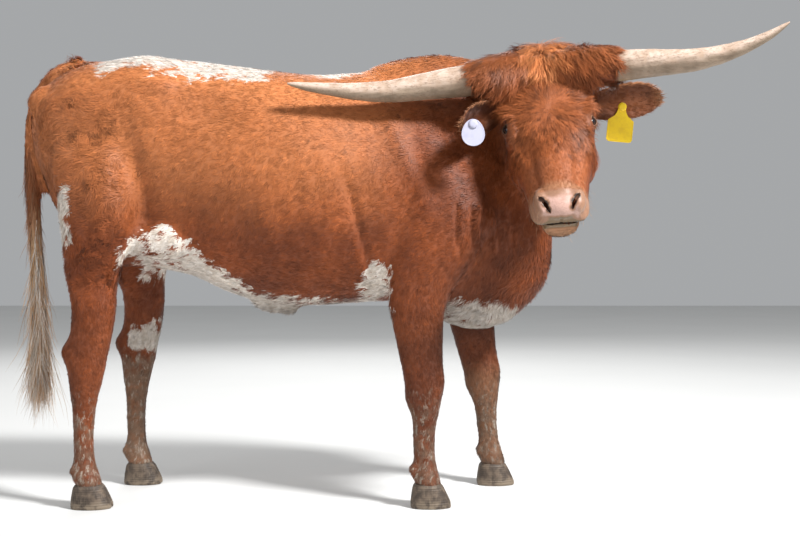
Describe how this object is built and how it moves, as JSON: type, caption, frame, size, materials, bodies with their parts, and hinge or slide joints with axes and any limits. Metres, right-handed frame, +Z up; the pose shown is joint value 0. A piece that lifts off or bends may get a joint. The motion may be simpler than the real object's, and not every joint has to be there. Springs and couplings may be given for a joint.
{
  "type": "texas longhorn steer",
  "caption": "Life-size standing longhorn steer with wide, gently upswept horns, its head turned to its right, with a tag in each ear.",
  "frame": {"origin": "on the floor under the middle of the whole animal's box", "axes": "+X forward along the body, +Y to the animal's left, +Z up"},
  "size_m": [2.072, 0.7086, 1.2865],
  "materials": {
    "coat": "short red-brown coat with white patches, soft sheen along the hair",
    "switch_hair": "long coarse hair, brown to cream",
    "horn": "dry, weathered horn, pale above and grey-brown below",
    "eye": "wet dark eye",
    "claw": "dull ringed hoof horn",
    "tag_yellow": "satin moulded plastic, slightly soiled",
    "tag_white": "satin moulded plastic, slightly soiled"
  },
  "bodies": {
    "root": {"torso": "coat", "neck": "coat", "head": "coat", "ear_left": "coat", "ear_right": "coat", "leg_front_right_upper": "coat", "leg_front_right_lower": "coat", "leg_front_left_upper": "coat", "leg_front_left_lower": "coat", "leg_hind_right_upper": "coat", "leg_hind_right_lower": "coat", "leg_hind_left_upper": "coat", "leg_hind_left_lower": "coat", "tail_dock": "coat", "tail_shaft": "coat", "tail_switch": "switch_hair", "horn_left": "horn", "horn_right": "horn", "eye_left": "eye", "eye_right": "eye", "claw_front_right_left": "claw", "claw_front_right_right": "claw", "claw_front_left_left": "claw", "claw_front_left_right": "claw", "claw_hind_right_left": "claw", "claw_hind_right_right": "claw", "claw_hind_left_left": "claw", "claw_hind_left_right": "claw", "tag_left_panel": "tag_yellow", "tag_left_button": "tag_yellow", "tag_right_panel": "tag_white", "tag_right_button": "tag_white"}
  },
  "joints": []
}
